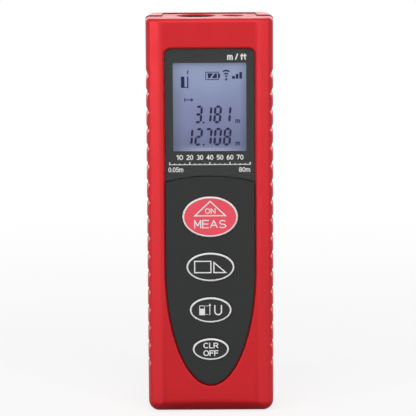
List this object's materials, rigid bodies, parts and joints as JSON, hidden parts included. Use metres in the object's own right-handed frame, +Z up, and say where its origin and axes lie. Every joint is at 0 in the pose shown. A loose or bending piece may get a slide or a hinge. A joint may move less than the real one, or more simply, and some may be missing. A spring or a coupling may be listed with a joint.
{
  "type": "laser distance meter",
  "caption": "Pocket laser distance meter: slim red case with ribbed sides, dark panel with display and oval keys, optics in the top end, battery door at the back.",
  "frame": {"origin": "centre of the bottom end, on the surface that the meter stands on", "axes": "+Z up the length towards the optics end, +Y from the front face to the back face, +X to the right seen from the front"},
  "size_m": [0.0378, 0.024, 0.118],
  "materials": {
    "red_shell": "satin moulded",
    "clear_lens": "clear acrylic",
    "printed_film": "printed dark grey",
    "dark_panel": "fine matt",
    "red_key": "satin with white print",
    "dark_key": "fine matt with white print",
    "silicone": "translucent grey",
    "gold_contact": "gold plated",
    "circuit_board": "solder resist",
    "chip_black": "moulded package",
    "foam": "closed-cell foam",
    "display_glass": "grey-blue display",
    "light_guide": "frosted",
    "white_frame": "moulded",
    "striped_rubber": "striped",
    "cell_wrap": "foil wrap",
    "nickel_steel": "nickel plated",
    "black_moulding": "matt black",
    "lens_glass": "polished",
    "filter_glass": "dark red filter",
    "brass_barrel": "turned",
    "ribbon_film": "polyimide",
    "silver_plate": "satin film, bare",
    "dark_screw": "black oxide"
  },
  "bodies": {
    "housing": {"back_shell": "red_shell", "backlight": "light_guide", "battery_left": "cell_wrap", "battery_right": "cell_wrap", "battery_springs": "nickel_steel", "board_components": "chip_black", "board_pads": "gold_contact", "board_screws": "nickel_steel", "buzzer": "chip_black", "carrier_screws": "nickel_steel", "case_screws": "dark_screw", "collimator_lens": "lens_glass", "contact_plates": "nickel_steel", "display_gasket": "foam", "display_lens": "clear_lens", "display_mask": "printed_film", "dome_area": "silicone", "dome_clear": "silicone", "dome_measure": "silicone", "dome_reference": "silicone", "emitter_window": "lens_glass", "end_seal": "foam", "front_shell": "red_shell", "keypad_mat": "silicone", "keypad_panel": "dark_panel", "laser_barrel": "brass_barrel", "laser_diode": "gold_contact", "lcd_connector": "striped_rubber", "lcd_frame": "white_frame", "lcd_glass": "display_glass", "lens_ring": "black_moulding", "main_board": "circuit_board", "optics_carrier": "black_moulding", "photodiode": "filter_glass", "rating_plate": "silver_plate", "receiver_lens": "lens_glass", "receiver_window": "filter_glass", "sensor_board": "circuit_board", "sensor_shield": "nickel_steel", "signal_ribbons": "ribbon_film", "window_gaskets": "foam"},
    "measure_key": {"key_measure": "red_key"},
    "area_key": {"key_area": "dark_key"},
    "reference_key": {"key_reference": "dark_key"},
    "clear_key": {"key_clear": "dark_key"},
    "door": {"battery_door": "red_shell"}
  },
  "joints": [
    {"name": "measure_press", "type": "slide", "parent": "housing", "child": "measure_key", "axis": [0, 1, 0], "range_m": [0, 0.0008], "stiffness_N_per_m": 500, "springref_m": -0.0006, "deforming": ["dome_measure"]},
    {"name": "area_press", "type": "slide", "parent": "housing", "child": "area_key", "axis": [0, 1, 0], "range_m": [0, 0.0008], "stiffness_N_per_m": 500, "springref_m": -0.0006, "deforming": ["dome_area"]},
    {"name": "reference_press", "type": "slide", "parent": "housing", "child": "reference_key", "axis": [0, 1, 0], "range_m": [0, 0.0008], "stiffness_N_per_m": 500, "springref_m": -0.0006, "deforming": ["dome_reference"]},
    {"name": "clear_press", "type": "slide", "parent": "housing", "child": "clear_key", "axis": [0, 1, 0], "range_m": [0, 0.0008], "stiffness_N_per_m": 500, "springref_m": -0.0006, "deforming": ["dome_clear"]},
    {"name": "door_swing", "type": "hinge", "parent": "housing", "child": "door", "pos_m": [0, 0.012, 0.005], "axis": [-1, 0, 0], "range_deg": [0, 70]}
  ]
}
